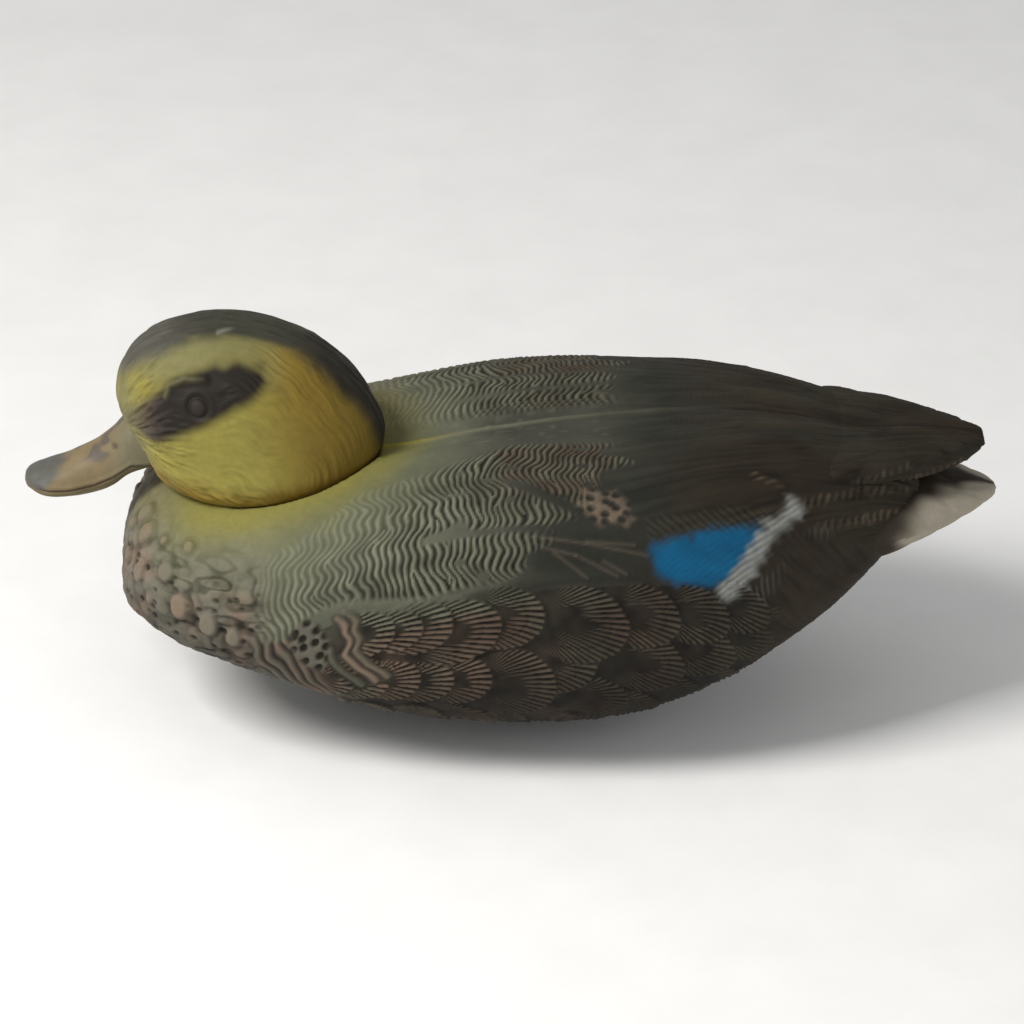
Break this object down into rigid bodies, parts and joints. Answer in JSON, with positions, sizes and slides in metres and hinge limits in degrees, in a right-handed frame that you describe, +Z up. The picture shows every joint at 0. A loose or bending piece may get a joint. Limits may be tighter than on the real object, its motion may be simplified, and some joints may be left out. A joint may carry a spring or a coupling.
{
  "type": "floating duck decoy",
  "caption": "Hollow moulded duck decoy with folded wings, a swivelling head, a low ballasted keel, a line ring and a drain plug.",
  "frame": {"origin": "centre of the keel's flat underside, below the middle of the overall length", "axes": "+Z up, bill towards -X, tail towards +X, the duck's left side towards -Y"},
  "size_m": [0.3604, 0.158, 0.1538],
  "materials": {
    "body": "matt, hand painted",
    "head": "matt, hand painted",
    "swivel": "plain moulded",
    "seal": "matt",
    "clip": "satin",
    "keel": "matt",
    "ballast": "as cast",
    "screw": "satin",
    "ring": "dull",
    "plug": "matt"
  },
  "bodies": {
    "hull": {"body_left_shell": "body", "body_right_shell": "body", "neck_socket": "swivel", "keel_tray": "keel", "ballast_bar": "ballast", "keel_screw_1": "screw", "keel_screw_2": "screw", "keel_screw_3": "screw", "keel_screw_4": "screw"},
    "head": {"head_shell": "head", "neck_plug": "swivel", "neck_seal": "seal", "neck_snap_ring": "clip"},
    "line_ring": {"anchor_ring": "ring"},
    "drain": {"drain_plug": "plug"}
  },
  "joints": [
    {"name": "head_swivel", "type": "hinge", "parent": "hull", "child": "head", "pos_m": [-0.0935, 0, 0.094], "axis": [0, 0, 1], "range_deg": [-60, 60]},
    {"name": "anchor_ring_swing", "type": "hinge", "parent": "hull", "child": "line_ring", "pos_m": [-0.05585, 0, 0.004], "axis": [0, 1, 0], "range_deg": [-100, 15]},
    {"name": "drain_plug_pull", "type": "slide", "parent": "hull", "child": "drain", "axis": [0, 0, -1], "range_m": [0, 0.02]}
  ]
}
